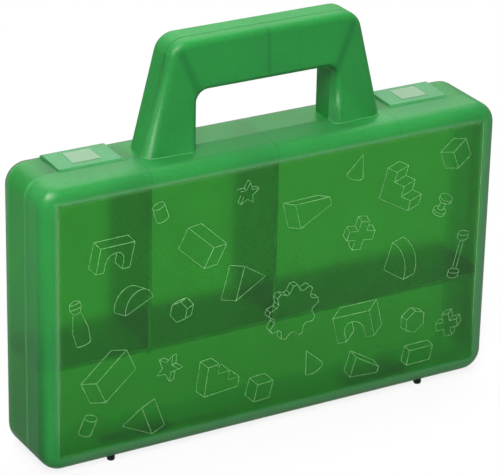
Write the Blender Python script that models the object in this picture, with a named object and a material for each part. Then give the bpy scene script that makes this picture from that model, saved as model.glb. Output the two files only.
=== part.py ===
# Sorting case for toy bricks: two moulded half shells hinged along the bottom, a hollow handle
# that is shared between them, two snap latches on the top edge and loose dividers inside.
# Lengths are in metres. The case stands upright on its feet, with the lid facing -Y.
import math

import bmesh
import bpy
from mathutils import Vector

# Case body, seen from the front
case_width = 0.275
case_height = 0.161
corner_radius = 0.012
edge_radius = 0.0077
wall = 0.002
lid_depth = 0.0215
tray_depth = 0.0275
parting_gap = 0.0003

# Places across the front, as shares of half the case's width
handle_foot_share = 0.515
handle_top_share = 0.402
window_share = 0.3055
latch_share = 0.7225
divider_share = 0.5455
hinge_share = 0.5455
foot_share = 0.7

# See-through panel on the lid, set back inside a crisp border
panel_border = 0.0088
panel_step = 0.0004
panel_step_run = 0.0002

# Lip of the tray, which enters a rabbet in the lid
lip_inset = 0.0011
lip_reach = 0.0025
lip_clearance = 0.0003

# Feet moulded under both shells
foot_height = 0.0018
foot_radius = 0.0022
foot_rounding = 0.001
lid_foot_setback = 0.0165
tray_foot_setback = 0.0185

# Handle, one hollow half on each shell
handle_rise = 0.061
handle_corner = 0.0115
window_rise = 0.033
window_corner = 0.0065
handle_lid_depth = 0.0073
handle_lid_inner_depth = 0.0086
handle_tray_depth = 0.0143
handle_tray_inner_depth = 0.0152
handle_outer_rounding = 0.0045
handle_inner_rounding = 0.003
handle_wall = 0.002
handle_root = 0.0005
handle_gap = 0.0004
handle_rib = 0.0016
handle_rib_setback = 0.001

# Dividers and what holds them
shelf_height = 0.0585
shelf_thickness = 0.0022
divider_thickness = 0.0018
divider_reach = 0.0188
divider_clearance = 0.0003
divider_top_gap = 0.0015
notch_depth = 0.0058
tab_drop = 0.002
tab_rounding = 0.0008
guide_rib = 0.0013
guide_height = 0.0022
guide_front = 0.0015
lid_rib = 0.0016
lid_rib_height = 0.0014
lid_rib_start = 94
lid_rib_end = 177

# Latches, which turn on stub pins in two pockets of the tray
latch_width = 0.0358
latch_front = 0.0003
latch_axis_drop = 0.0016
latch_rise = 0.0009
latch_plate = 0.0016
latch_barrel = 0.0032
latch_barrel_end = -60
latch_side_gap = 0.0003
latch_edge = 0.0004
stub_radius = 0.0007
stub_length = 0.0012
plaque_half = 0.0079
plaque_front_share = 0.2
plaque_back_share = 0.872
plaque_rise = 0.00025
hook_front = 0.0013
hook_thickness = 0.0017
pocket_wall = 0.0016
catch_half = 0.013
catch_root = 0.0062
catch_tongue = 0.0016
catch_ridge = 0.0016

# Hinges, with their axis on the bottom edge of the parting plane
hinge_length = 0.036
hinge_lid_knuckle = 0.014
hinge_gap = 0.0004
knuckle_radius = 0.0015
pin_radius = 0.0007
pin_setback = 0.0008
boss_depth = 0.006
boss_height = 0.0043
boss_margin = 0.002

# Clearance between pieces that touch, and how far a cut runs past what it cuts
seat_gap = 0.0003
overrun = 0.002

# Fineness of the rounded shapes
corner_steps = 9
edge_steps = 7
handle_corner_steps = 9
rounding_steps = 6
small_steps = 3
pin_steps = 20
foot_steps = 20

# Where a height or a place follows from the sizes above
half_width = case_width / 2
handle_foot_half = handle_foot_share * half_width
handle_top_half = handle_top_share * half_width
window_half = window_share * half_width
latch_centre = latch_share * half_width
divider_pitch = divider_share * half_width
hinge_spread = hinge_share * half_width
foot_spread = foot_share * half_width
rim = parting_gap / 2
handle_top = case_height + handle_rise
window_top = case_height + window_rise
shelf_top = shelf_height + shelf_thickness
inner_top = case_height - wall
inner_radius = edge_radius - wall
latch_axis = tray_depth - edge_radius
latch_length = latch_axis - latch_front
latch_top = latch_axis_drop + latch_rise
latch_under = latch_top - latch_plate
pocket_floor = case_height - latch_axis_drop - latch_barrel - seat_gap
pocket_back = latch_axis + latch_barrel + seat_gap
tongue_low = pocket_floor + seat_gap
tongue_top = tongue_low + catch_tongue
hook_low = tongue_top + seat_gap
hook_back = hook_front + hook_thickness
ridge_front = hook_back + seat_gap
ridge_back = ridge_front + catch_ridge
ridge_top = case_height + latch_rise - latch_plate - seat_gap
case_origin = Vector((0, (lid_depth - tray_depth) / 2, foot_height))

case_green = (0.035, 0.262, 0.056)
latch_green = (0.165, 0.418, 0.195)
steel_grey = (0.42, 0.43, 0.44)


def clear_scene():
    for item in list(bpy.data.objects):
        bpy.data.objects.remove(item)


def make_material(name, colour, roughness, metallic=0.0, transmission=0.0):
    material = bpy.data.materials.new(name)
    material.use_nodes = True
    shader = material.node_tree.nodes["Principled BSDF"]
    shader.inputs["Base Color"].default_value = (*colour, 1)
    shader.inputs["Roughness"].default_value = roughness
    shader.inputs["Metallic"].default_value = metallic
    shader.inputs["Transmission Weight"].default_value = transmission
    return material


def arc(centre, radius, start, end, steps):
    # Points of an arc, from one angle in degrees to the other
    points = []
    for step in range(steps + 1):
        angle = math.radians(start + (end - start) * step / steps)
        points.append((centre[0] + radius * math.cos(angle), centre[1] + radius * math.sin(angle)))
    return points


def solid_from(name, bm, place=case_origin):
    bmesh.ops.recalc_face_normals(bm, faces=bm.faces)
    bmesh.ops.triangulate(bm, faces=bm.faces)
    mesh = bpy.data.meshes.new(name)
    bm.to_mesh(mesh)
    bm.free()
    solid = bpy.data.objects.new(name, mesh)
    solid.location = place
    bpy.context.scene.collection.objects.link(solid)
    return solid


def lofted(name, rings, place=case_origin):
    # Closed rings with the same number of points, skinned in order and capped at both ends
    bm = bmesh.new()
    loops = []
    for ring in rings:
        loops.append([bm.verts.new(point) for point in ring])
    for first, second in zip(loops, loops[1:]):
        for index in range(len(first)):
            after = (index + 1) % len(first)
            bm.faces.new((first[index], first[after], second[after], second[index]))
    bm.faces.new(loops[0])
    bm.faces.new(reversed(loops[-1]))
    return solid_from(name, bm, place)


def extruded(name, profile, start, end, place=case_origin):
    # A (y, z) profile drawn out along X
    rings = []
    for x in (start, end):
        rings.append([(x, y, z) for y, z in profile])
    return lofted(name, rings, place)


def block(name, low, high, place=case_origin):
    profile = [(low[1], low[2]), (high[1], low[2]), (high[1], high[2]), (low[1], high[2])]
    return extruded(name, profile, low[0], high[0], place)


def rod(name, radius, start, end, centre=(0, 0), place=case_origin):
    # A round bar along X, with its centre given as (y, z) and no corner on a level or upright line
    half_step = 180 / pin_steps
    circle = arc(centre, radius, half_step, half_step + 360, pin_steps)[:-1]
    return extruded(name, circle, start, end, place)


def combine(target, tool, operation):
    # Applies one exact Boolean and removes the tool
    modifier = target.modifiers.new(operation.title(), "BOOLEAN")
    modifier.operation = operation
    modifier.solver = "EXACT"
    modifier.object = tool
    graph = bpy.context.evaluated_depsgraph_get()
    result = bpy.data.meshes.new_from_object(target.evaluated_get(graph))
    target.modifiers.remove(modifier)
    before = target.data
    result.name = before.name
    target.data = result
    bpy.data.meshes.remove(before)
    bpy.data.objects.remove(tool)


def add(target, tool):
    combine(target, tool, "UNION")


def cut(target, tool):
    combine(target, tool, "DIFFERENCE")


def finish(solid, name, material, smooth_angle=35):
    solid.name = name
    solid.data.name = name
    solid.data.materials.clear()
    solid.data.materials.append(material)
    solid.data.shade_smooth()
    solid.data.set_sharp_from_angle(angle=math.radians(smooth_angle))


def body_outline(inset, y):
    # Rounded rectangle of the case, drawn in by the inset
    radius = corner_radius - inset
    across = half_width - corner_radius
    heights = (corner_radius, case_height - corner_radius)
    centres = ((across, heights[0], -90), (across, heights[1], 0),
               (-across, heights[1], 90), (-across, heights[0], 180))
    points = []
    for x, z, start in centres:
        points += arc((x, z), radius, start, start + 90, corner_steps)
    return [(x, y, z) for x, z in points]


def tray_rings():
    # From the back face round the outside to the lip, then down the inside to the floor
    centre = (edge_radius, tray_depth - edge_radius)
    profile = arc(centre, edge_radius, 90, 180, edge_steps)
    profile += [(0, rim), (lip_inset, rim), (lip_inset, -lip_reach), (wall, -lip_reach)]
    profile += arc(centre, inner_radius, 180, 90, edge_steps)
    return [body_outline(inset, depth) for inset, depth in profile]


def lid_rings():
    # From the set-back panel over its border, round the outside, past the rabbet and inside again
    centre = (edge_radius, lid_depth - edge_radius)
    rabbet = lip_inset - lip_clearance
    rabbet_reach = lip_reach + lip_clearance
    profile = [(panel_border + panel_step_run, lid_depth - panel_step), (panel_border, lid_depth)]
    profile += arc(centre, edge_radius, 90, 180, edge_steps)
    profile += [(0, rim), (rabbet, rim), (rabbet, rabbet_reach), (wall, rabbet_reach)]
    profile += arc(centre, inner_radius, 180, 90, edge_steps)
    return [body_outline(inset, -depth) for inset, depth in profile]


def handle_edge(inset):
    # Outer edge of the handle from foot to foot, as (x, z), drawn in by the inset
    lean = math.atan2(handle_foot_half - handle_top_half, handle_rise)
    centre_z = handle_top - handle_corner
    leg_at_centre = handle_foot_half - (centre_z - case_height) * math.tan(lean)
    centre_x = leg_at_centre - handle_corner / math.cos(lean)
    foot_x = handle_foot_half + handle_root * math.tan(lean) - inset / math.cos(lean)
    right = arc((centre_x, centre_z), handle_corner - inset, 90, math.degrees(lean), handle_corner_steps)
    right.append((foot_x, case_height - handle_root))
    return [(-x, z) for x, z in reversed(right)] + right


def window_edge(outset):
    # Edge of the finger window from foot to foot, grown into the handle by the outset
    centre = (window_half - window_corner, window_top - window_corner)
    right = arc(centre, window_corner + outset, 90, 0, handle_corner_steps)
    right.append((window_half + outset, case_height - handle_root))
    return [(-x, z) for x, z in reversed(right)] + right


def handle_skin(offset, start, outer_depth, inner_depth):
    # Section of the handle as (edge, inset, depth), drawn in by the offset on every side
    outer = (handle_outer_rounding, outer_depth - handle_outer_rounding)
    inner = (handle_inner_rounding, inner_depth - handle_inner_rounding)
    section = [(handle_edge, offset, start)]
    for inset, depth in arc(outer, handle_outer_rounding - offset, 180, 90, rounding_steps):
        section.append((handle_edge, inset, depth))
    for inset, depth in arc(inner, handle_inner_rounding - offset, 90, 180, rounding_steps):
        section.append((window_edge, inset, depth))
    section.append((window_edge, offset, start))
    return section


def handle_half(name, side, outer_depth, inner_depth):
    # A hollow channel, open towards the parting plane, that runs from foot to foot
    start = handle_gap / 2
    section = handle_skin(0, start, outer_depth, inner_depth)
    section += reversed(handle_skin(handle_wall, start, outer_depth, inner_depth))
    paths = []
    for edge, inset, depth in section:
        paths.append([(x, side * depth, z) for x, z in edge(inset)])
    return lofted(name, list(zip(*paths)))


def handle_middle_rib(name, side, outer_depth, inner_depth):
    profile = []
    for edge, inset, depth in handle_skin(handle_wall / 2, handle_rib_setback, outer_depth, inner_depth):
        height = handle_top - inset if edge is handle_edge else window_top + inset
        profile.append((side * depth, height))
    return extruded(name, profile, -handle_rib / 2, handle_rib / 2)


def foot(name, x, y):
    # A short round foot with a rounded sole, rooted in the wall above it
    rounding = arc((foot_radius - foot_rounding, foot_rounding - foot_height), foot_rounding, -90, 0, small_steps)
    profile = rounding + [(foot_radius, wall / 2)]
    rings = []
    for radius, z in profile:
        circle = arc((x, y), radius, 0, 360, foot_steps)[:-1]
        rings.append([(across, along, z) for across, along in circle])
    return lofted(name, rings)


def divider_places():
    return (-divider_pitch, 0)


def hinge_places():
    return (-hinge_spread, hinge_spread)


def latch_places():
    return (-latch_centre, latch_centre)


def knuckle_span(place, number):
    # The three knuckles of a hinge: the tray has the outer two, the lid has the one between them
    lid_half = hinge_lid_knuckle / 2
    inner_end = lid_half + hinge_gap
    outer_end = hinge_length / 2
    spans = ((-outer_end, -inner_end), (-lid_half, lid_half), (inner_end, outer_end))
    return place + spans[number][0], place + spans[number][1]


def add_hinge(shell, side, own, others):
    bore = pin_radius + seat_gap
    for place in hinge_places():
        half = hinge_length / 2 + boss_margin
        near = rim + seat_gap
        low = (place - half, min(side * near, side * boss_depth), wall / 2)
        high = (place + half, max(side * near, side * boss_depth), boss_height)
        add(shell, block("hinge boss", low, high))
        for number in others:
            start, end = knuckle_span(place, number)
            cut(shell, rod("knuckle recess", knuckle_radius + hinge_gap, start - seat_gap, end + seat_gap))
        for number in own:
            start, end = knuckle_span(place, number)
            add(shell, rod("knuckle", knuckle_radius, start, end))
        reach = hinge_length / 2 + overrun / 2
        cut(shell, rod("pin bore", bore, place - reach, place + reach))


def add_latch_pocket(shell, place):
    half = latch_width / 2 + latch_side_gap
    outside = half + pocket_wall
    low = pocket_floor - pocket_wall
    box_back = pocket_back + pocket_wall
    radius = edge_radius - wall / 2
    turn = math.degrees(math.acos((box_back - latch_axis) / radius))
    profile = [(parting_gap, low), (parting_gap, case_height - wall / 2)]
    profile += arc((latch_axis, case_height - edge_radius), radius, 90, turn, rounding_steps)
    profile += [(box_back, low)]
    add(shell, extruded("pocket box", profile, place - outside, place + outside))
    cut_low = (place - half, -lip_reach - overrun, pocket_floor)
    cut_high = (place + half, pocket_back, case_height + overrun)
    cut(shell, block("pocket", cut_low, cut_high))
    axis = (latch_axis, case_height - latch_axis_drop)
    reach = half + stub_length
    cut(shell, rod("stub sockets", stub_radius + seat_gap, place - reach, place + reach, axis))


def add_divider_guides(shell):
    back = tray_depth - edge_radius
    slot = divider_thickness / 2 + divider_clearance
    for place in divider_places():
        for side in (-1, 1):
            edges = sorted((place + side * slot, place + side * (slot + guide_rib)))
            low = (edges[0], guide_front, inner_top - divider_top_gap - guide_height)
            high = (edges[1], back, inner_top + wall / 2)
            add(shell, block("top guide", low, high))
    inner = half_width - wall
    for side in (-1, 1):
        across = sorted((side * (inner - guide_height), side * (inner + wall / 2)))
        under = shelf_height - divider_clearance
        over = shelf_top + divider_clearance
        for low_z, high_z in ((under - guide_rib, under), (over, over + guide_rib)):
            low = (across[0], guide_front, low_z)
            high = (across[1], back, high_z)
            add(shell, block("shelf guide", low, high))


def cut_lip_at_hinges(shell):
    half = hinge_length / 2 + boss_margin + seat_gap
    for place in hinge_places():
        low = (place - half, -lip_reach - overrun, -overrun)
        high = (place + half, rim / 2, wall + overrun)
        cut(shell, block("lip gap", low, high))


def make_tray(material):
    tray = lofted("rear_shell", tray_rings())
    cut_lip_at_hinges(tray)
    add(tray, handle_half("handle", 1, handle_tray_depth, handle_tray_inner_depth))
    add(tray, handle_middle_rib("rib", 1, handle_tray_depth, handle_tray_inner_depth))
    add_divider_guides(tray)
    for place in latch_places():
        add_latch_pocket(tray, place)
    for side in (-1, 1):
        add(tray, foot("foot", side * foot_spread, tray_foot_setback))
    add_hinge(tray, 1, own=(0, 2), others=(1,))
    finish(tray, "rear_shell", material)


def catch_profile():
    # Tongue under the lid's top edge, with a ridge that the latch hooks over
    rabbet_end = lip_reach + lip_clearance + seat_gap
    embedded = case_height - wall / 2
    ramp = catch_ridge / 2
    return [(-catch_root, embedded), (-catch_root, tongue_low), (ridge_back, tongue_low),
            (ridge_back, ridge_top - ramp), (ridge_back - ramp, ridge_top), (ridge_front, ridge_top),
            (ridge_front, tongue_top), (-rabbet_end, tongue_top), (-rabbet_end, embedded)]


def lid_rib_profile():
    # A low rib that follows the inside of the lid's top edge
    centre = (edge_radius - lid_depth, case_height - edge_radius)
    rooted = arc(centre, edge_radius - wall / 2, lid_rib_start, lid_rib_end, rounding_steps)
    free = arc(centre, inner_radius - lid_rib_height, lid_rib_end, lid_rib_start, rounding_steps)
    return rooted + free


def make_lid(material):
    lid = lofted("front_shell", lid_rings())
    add(lid, handle_half("handle", -1, handle_lid_depth, handle_lid_inner_depth))
    add(lid, handle_middle_rib("rib", -1, handle_lid_depth, handle_lid_inner_depth))
    for place in latch_places():
        add(lid, extruded("catch", catch_profile(), place - catch_half, place + catch_half))
    for place in (-divider_pitch, 0, divider_pitch):
        add(lid, extruded("lid rib", lid_rib_profile(), place - lid_rib / 2, place + lid_rib / 2))
    for side in (-1, 1):
        add(lid, foot("foot", side * foot_spread, -lid_foot_setback))
    add_hinge(lid, -1, own=(1,), others=(0, 2))
    finish(lid, "front_shell", material)


def plate_point(share, lift):
    # A point above or below the latch's top, with the share 0 at the front edge and 1 at the axis
    return (share - 1) * latch_length, latch_top + (latch_barrel - latch_top) * share + lift


def latch_profile():
    # Side view of a latch round its axis: plate, rolled rear edge and the hook under the front edge
    front = -latch_length
    low = hook_low - (case_height - latch_axis_drop)
    hook = (hook_front - latch_axis, hook_back - latch_axis)
    profile = [plate_point(latch_edge / latch_length, 0)]
    profile += arc((0, 0), latch_barrel, 90, latch_barrel_end, 2 * rounding_steps)
    profile += [(-latch_barrel, 0), plate_point(1 - 2 * latch_barrel / latch_length, -latch_plate)]
    profile += [(hook[1], latch_under), (hook[1], low), (hook[0], low), (hook[0], latch_under)]
    profile += [(front, latch_under), (front, latch_top - latch_edge)]
    return profile


def make_latch(name, place, material):
    axis = case_origin + Vector((place, latch_axis, case_height - latch_axis_drop))
    half = latch_width / 2
    latch = extruded(name, latch_profile(), -half, half, axis)
    reach = half + stub_length - seat_gap
    add(latch, rod("stubs", stub_radius, -reach, reach, place=axis))
    profile = []
    for share, lift in ((plaque_front_share, -latch_plate / 2), (plaque_back_share, -latch_plate / 2),
                        (plaque_back_share, plaque_rise), (plaque_front_share, plaque_rise)):
        profile.append(plate_point(share, lift))
    add(latch, extruded("plaque", profile, -plaque_half, plaque_half, axis))
    finish(latch, name, material)


def make_hinge_pin(name, place, material):
    half = hinge_length / 2 - pin_setback
    pin = rod(name, pin_radius, -half, half, place=case_origin + Vector((place, 0, 0)))
    bevel = pin.modifiers.new("Bevelled ends", "BEVEL")
    bevel.width = pin_radius / 4
    bevel.segments = 1
    finish(pin, name, material)


def make_long_divider(material):
    # Its ends follow the rounded inside of both shells
    ends = half_width - edge_radius
    radius = inner_radius - divider_clearance
    back = tray_depth - edge_radius
    front = divider_reach - radius
    outline = arc((ends, -front), radius, -90, 0, edge_steps)
    outline += arc((ends, back), radius, 0, 90, edge_steps)
    outline += arc((-ends, back), radius, 90, 180, edge_steps)
    outline += arc((-ends, -front), radius, 180, 270, edge_steps)
    rings = []
    for z in (shelf_height, shelf_top):
        rings.append([(x, y, z) for x, y in outline])
    divider = lofted("long_divider", rings)
    slot = divider_thickness / 2 + divider_clearance
    for place in divider_places():
        low = (place - slot, -divider_reach - overrun, shelf_height - overrun)
        high = (place + slot, notch_depth - divider_reach, shelf_top + overrun)
        cut(divider, block("notch", low, high))
    finish(divider, "long_divider", material)


def make_short_divider(name, place, material):
    # A plate on the long divider, with a tab through the notch and a corner cut for the lid
    back = tray_depth - wall - divider_clearance
    bottom = shelf_top + divider_clearance
    top = inner_top - divider_top_gap
    tab_low = shelf_height - tab_drop
    tab_back = notch_depth - divider_clearance - divider_reach
    corner_cut = edge_radius - wall + divider_clearance
    rear_radius = inner_radius - divider_clearance
    rear_centre = (back - rear_radius, top - rear_radius)
    tab_centre = (tab_rounding - divider_reach, tab_low + tab_rounding)
    profile = arc(tab_centre, tab_rounding, 180, 270, small_steps)
    profile += [(tab_back, tab_low), (tab_back, bottom), (back, bottom)]
    profile += arc(rear_centre, rear_radius, 0, 90, edge_steps)
    profile += [(corner_cut - divider_reach, top), (-divider_reach, top - corner_cut)]
    origin = case_origin + Vector((place, 0, 0))
    divider = extruded(name, profile, -divider_thickness / 2, divider_thickness / 2, origin)
    finish(divider, name, material)


def build():
    clear_scene()
    case_plastic = make_material("frosted green plastic", case_green, 0.38, transmission=0.5)
    latch_plastic = make_material("latch plastic", latch_green, 0.42, transmission=0.4)
    steel = make_material("hinge pin steel", steel_grey, 0.3, metallic=1.0)
    make_tray(case_plastic)
    make_lid(case_plastic)
    for side, place in zip(("left", "right"), latch_places()):
        make_latch("latch_" + side, place, latch_plastic)
    for side, place in zip(("left", "right"), hinge_places()):
        make_hinge_pin("hinge_pin_" + side, place, steel)
    make_long_divider(case_plastic)
    for side, place in zip(("left", "middle"), divider_places()):
        make_short_divider("short_divider_" + side, place, case_plastic)


build()
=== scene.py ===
import math

import bmesh
import bpy
from mathutils import Matrix, Vector
from mathutils.bvhtree import BVHTree


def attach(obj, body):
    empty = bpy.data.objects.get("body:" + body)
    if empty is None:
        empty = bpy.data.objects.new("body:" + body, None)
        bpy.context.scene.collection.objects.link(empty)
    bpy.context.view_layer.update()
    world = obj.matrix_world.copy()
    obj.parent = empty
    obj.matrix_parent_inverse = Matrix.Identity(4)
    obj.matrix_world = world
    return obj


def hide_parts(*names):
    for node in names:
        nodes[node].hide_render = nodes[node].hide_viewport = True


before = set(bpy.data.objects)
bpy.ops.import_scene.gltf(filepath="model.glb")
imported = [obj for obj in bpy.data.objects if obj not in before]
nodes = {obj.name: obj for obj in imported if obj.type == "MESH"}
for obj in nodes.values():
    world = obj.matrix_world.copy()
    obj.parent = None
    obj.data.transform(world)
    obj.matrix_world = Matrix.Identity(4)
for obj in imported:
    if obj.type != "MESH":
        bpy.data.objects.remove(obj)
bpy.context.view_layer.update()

# Sizes that the looks share with the case, in metres
case = {
    "halfWidth": 0.1375,
    "bottom": 0.0018,
    "top": 0.1628,
    "partingPlane": -0.003,
    "front": -0.0245,
    "back": 0.0245,
    "cornerRadius": 0.012,
    "edgeRadius": 0.0077,
    "wall": 0.002,
    "panelBorder": 0.0088,
    "panelStep": 0.0004,
    "handleRoot": 0.0008,
}
case["middle"] = (case["top"] + case["bottom"]) / 2
case["halfHeight"] = (case["top"] - case["bottom"]) / 2
case["panelHalfWidth"] = case["halfWidth"] - case["panelBorder"]
case["panelHalfHeight"] = case["halfHeight"] - case["panelBorder"]


def report(stage):
    print("scene:", stage)


def startMaterial(name):
    material = bpy.data.materials.new(name)
    material.use_nodes = True
    tree = material.node_tree
    return material, tree, tree.nodes["Principled BSDF"]


def addNode(tree, kind, inputs=None, **settings):
    node = tree.nodes.new(kind)
    for key, value in settings.items():
        setattr(node, key, value)
    for key, value in (inputs or {}).items():
        node.inputs[key].default_value = value
    return node


def maths(tree, operation, first, second=0.0):
    node = addNode(tree, "ShaderNodeMath", operation=operation)
    for socket, value in zip(node.inputs, (first, second)):
        if isinstance(value, bpy.types.NodeSocket):
            tree.links.new(value, socket)
        else:
            socket.default_value = value
    return node.outputs["Value"]


def product(tree, first, *others):
    for other in others:
        first = maths(tree, "MULTIPLY", first, other)
    return first


def objectPlace(tree):
    return addNode(tree, "ShaderNodeTexCoord").outputs["Object"]


def objectNoise(tree, scale, detail, roughness=0.5, stretch=(1, 1, 1)):
    mapping = addNode(tree, "ShaderNodeMapping", {"Scale": stretch})
    noise = addNode(tree, "ShaderNodeTexNoise", {"Scale": scale, "Detail": detail, "Roughness": roughness})
    tree.links.new(objectPlace(tree), mapping.inputs["Vector"])
    tree.links.new(mapping.outputs["Vector"], noise.inputs["Vector"])
    return noise.outputs["Fac"]


def ramp(tree, source, stops):
    node = tree.nodes.new("ShaderNodeValToRGB")
    for element, (position, colour) in zip(node.color_ramp.elements, stops):
        element.position = position
        element.color = (*colour, 1)
    tree.links.new(source, node.inputs["Fac"])
    return node.outputs["Color"]


def mapRange(tree, source, low, high, fromLow=0.0, fromHigh=1.0):
    node = addNode(tree, "ShaderNodeMapRange", {"From Min": fromLow, "From Max": fromHigh,
                                                "To Min": low, "To Max": high})
    node.interpolation_type = "SMOOTHSTEP"
    tree.links.new(source, node.inputs["Value"])
    return node.outputs["Result"]


def rising(tree, source, ends):
    return mapRange(tree, source, 0, 1, *ends)


def falling(tree, source, ends):
    return mapRange(tree, source, 1, 0, *ends)


def bump(tree, source, distance, strength):
    node = addNode(tree, "ShaderNodeBump", {"Distance": distance, "Strength": strength})
    tree.links.new(source, node.inputs["Height"])
    return node.outputs["Normal"]


def layer(tree, share, below, colour):
    # Lays a plain colour over what is below it, in full where share is 1
    node = addNode(tree, "ShaderNodeMix", data_type="RGBA")
    tree.links.new(share, node.inputs["Factor"])
    tree.links.new(below, node.inputs["A"])
    node.inputs["B"].default_value = (*colour, 1)
    return node.outputs["Result"]


def shade(colour, amount):
    return tuple(channel * amount for channel in colour)


def placeParts(tree):
    parts = addNode(tree, "ShaderNodeSeparateXYZ")
    tree.links.new(objectPlace(tree), parts.inputs["Vector"])
    return parts.outputs


def mirroredPlace(tree):
    # Object coordinates with the left half folded onto the right
    parts = placeParts(tree)
    return {"across": maths(tree, "ABSOLUTE", parts["X"]), "along": parts["Y"], "height": parts["Z"]}


def lineShadow(tree, start, end, halfWidth, fade):
    # 1 on a line in the XZ plane, seen on both sides of the middle, softly 0 away from it
    place = mirroredPlace(tree)
    length = math.hypot(end[0] - start[0], end[1] - start[1])
    unitX, unitZ = (end[0] - start[0]) / length, (end[1] - start[1]) / length
    x = maths(tree, "SUBTRACT", place["across"], start[0])
    z = maths(tree, "SUBTRACT", place["height"], start[1])
    run = maths(tree, "ADD", product(tree, x, unitX), product(tree, z, unitZ))
    off = maths(tree, "SUBTRACT", product(tree, x, unitZ), product(tree, z, unitX))
    near = falling(tree, maths(tree, "ABSOLUTE", off), (0, halfWidth))
    begins = rising(tree, run, (0, fade))
    ends = falling(tree, run, (length - fade, length))
    return product(tree, begins, ends, near)


# Ends of the soft edges where the plastic's look changes and where painted shade, glow and reflection lie,
# as places on the case in metres, and the share that the painted border reflection and the window's milky
# haze keep at their weak ends
zones = {
    "frameShadeHeight": (0.0095, 0.0135),
    "frameShadeLeft": (-0.130, -0.118),
    "frameShadeRight": (0.1265, 0.1305),
    "frameShadeRightHeight": (0.130, 0.165),
    "frameShadeAlong": (-0.021, -0.014),
    "glowAlong": (-0.0066, -0.0040),
    "glowAcross": (0.128, 0.135),
    "borderSheenOut": (0.0002, 0.0026),
    "borderSheenHeight": (0.012, 0.030),
    "borderSheenRight": (0.120, 0.127),
    "borderSheenRightShare": 0.35,
    "borderSheenAlong": (-0.0235, -0.0225),
    "milkIn": (-0.0032, -0.0002),
    "milkHeight": (0.020, 0.060),
    "milkLowShare": 0.2,
    "clearAlong": (0.0165, 0.0205),
    "dullAcross": (0.040, 0.052),
    "dullHeight": (0.1605, 0.1625),
    "shadeHeight": (0.012, 0.150),
    "shadeAcross": (0.1335, 0.1373),
}


def frameShade(tree):
    # 1 on the lid's frame below and right of the panel, for the painted shade where less light reaches it
    parts = placeParts(tree)
    low = falling(tree, parts["Z"], zones["frameShadeHeight"])
    low = product(tree, low, rising(tree, parts["X"], zones["frameShadeLeft"]))
    right = rising(tree, parts["X"], zones["frameShadeRight"])
    right = product(tree, right, falling(tree, parts["Z"], zones["frameShadeRightHeight"]))
    onFront = falling(tree, parts["Y"], zones["frameShadeAlong"])
    return product(tree, maths(tree, "MAXIMUM", low, right), onFront)


def edgeGlow(tree):
    # 1 along the lid's cut edge on the sides, for a painted glow where the plastic gathers light
    place = mirroredPlace(tree)
    near = rising(tree, place["along"], zones["glowAlong"])
    return product(tree, near, rising(tree, place["across"], zones["glowAcross"]))


def beyondPanel(tree, place):
    # How far a point lies outside the panel's outline, less than 0 inside it
    outX = maths(tree, "SUBTRACT", place["across"], case["panelHalfWidth"])
    fromMiddle = maths(tree, "ABSOLUTE", maths(tree, "SUBTRACT", place["height"], case["middle"]))
    outZ = maths(tree, "SUBTRACT", fromMiddle, case["panelHalfHeight"])
    return maths(tree, "MAXIMUM", outX, outZ)


def borderSheen(tree):
    # 1 at the panel's border, softly 0 a little further out on the frame, fainter low and on the right: a
    # painted reflection of the floor on the frame's flat border
    place = mirroredPlace(tree)
    near = falling(tree, beyondPanel(tree, place), zones["borderSheenOut"])
    up = rising(tree, place["height"], zones["borderSheenHeight"])
    left = mapRange(tree, placeParts(tree)["X"], 1, zones["borderSheenRightShare"], *zones["borderSheenRight"])
    return product(tree, near, up, left, falling(tree, place["along"], zones["borderSheenAlong"]))


def windowHaze(tree):
    # 1 at the panel's border, softly 0 a little further in, for the window's milky edge, and fainter low
    # down as painted shade
    place = mirroredPlace(tree)
    near = rising(tree, beyondPanel(tree, place), zones["milkIn"])
    up = mapRange(tree, place["height"], zones["milkLowShare"], 1, *zones["milkHeight"])
    return product(tree, near, up)


def clearBack(tree):
    # 1 on the tray's rounded back edge, which is as clear as its back
    return rising(tree, placeParts(tree)["Y"], zones["clearAlong"])


def dullStrip(tree):
    # 1 on the strip of the lid's top between the handle's legs, which mirrors the handle's dark back
    place = mirroredPlace(tree)
    between = falling(tree, place["across"], zones["dullAcross"])
    return product(tree, between, rising(tree, place["height"], zones["dullHeight"]))


def sideShade(tree):
    # 1 low on the side walls, for painted shade where less light comes through them
    place = mirroredPlace(tree)
    low = falling(tree, place["height"], zones["shadeHeight"])
    return product(tree, low, rising(tree, place["across"], zones["shadeAcross"]))


def paintedShadows(tree, shadowLines, fade):
    # The strength of the painted shadows: where a rib stands behind the skin, and along the crease at the
    # handle's corners
    shadows = 0.0
    for start, end, halfWidth, strength in shadowLines:
        shadow = product(tree, lineShadow(tree, start, end, halfWidth, fade), strength)
        shadows = maths(tree, "MAXIMUM", shadows, shadow)
    return shadows


# How noise is spread: its detail and roughness, and where on it a colour starts and ends
noises = {
    "cloudDetail": 3.0,
    "cloudStops": (0.3, 0.7),
    "fine": (2.0, 0.6),
    "spots": (3.0, 0.6),
    "spotStops": (0.35, 0.65),
}


def cloudyColour(tree, cloud, look):
    first, last = noises["cloudStops"]
    darker = shade(look["colour"], 1 - look["variation"])
    lighter = shade(look["colour"], 1 + look["variation"])
    return ramp(tree, cloud, [(first, darker), (last, lighter)])


frosted = {
    "colour": (0.037, 0.40, 0.085),
    "cloudScale": 28.0,
    "variation": 0.06,
    "roughness": (0.33, 0.41),
    "transmission": 0.45,
    "ior": 1.27,
    "grain": 0.0004,
    "grainDepth": 0.00003,
    "grainStrength": 0.5,
    "speckScale": 900.0,
    "speckStops": (0.35, 0.65),
    "speckShade": 1.3,
    "speckle": 0.35,
    "lowShade": 0.6,
    "shadowLines": (),
    "shadowFade": 0.004,
    "shadowColour": (0.01, 0.22, 0.05),
    "frameShade": 0.0,
    "frameShadeColour": (0.11, 0.345, 0.15),
    "edgeGlow": 0.0,
    "glowColour": (0.10, 0.62, 0.17),
    "borderSheen": 0.0,
    "borderSheenColour": (0.20, 0.54, 0.25),
    "dullStrip": 0.0,
    "clearBack": False,
    "backRoughness": 0.4,
}


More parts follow.
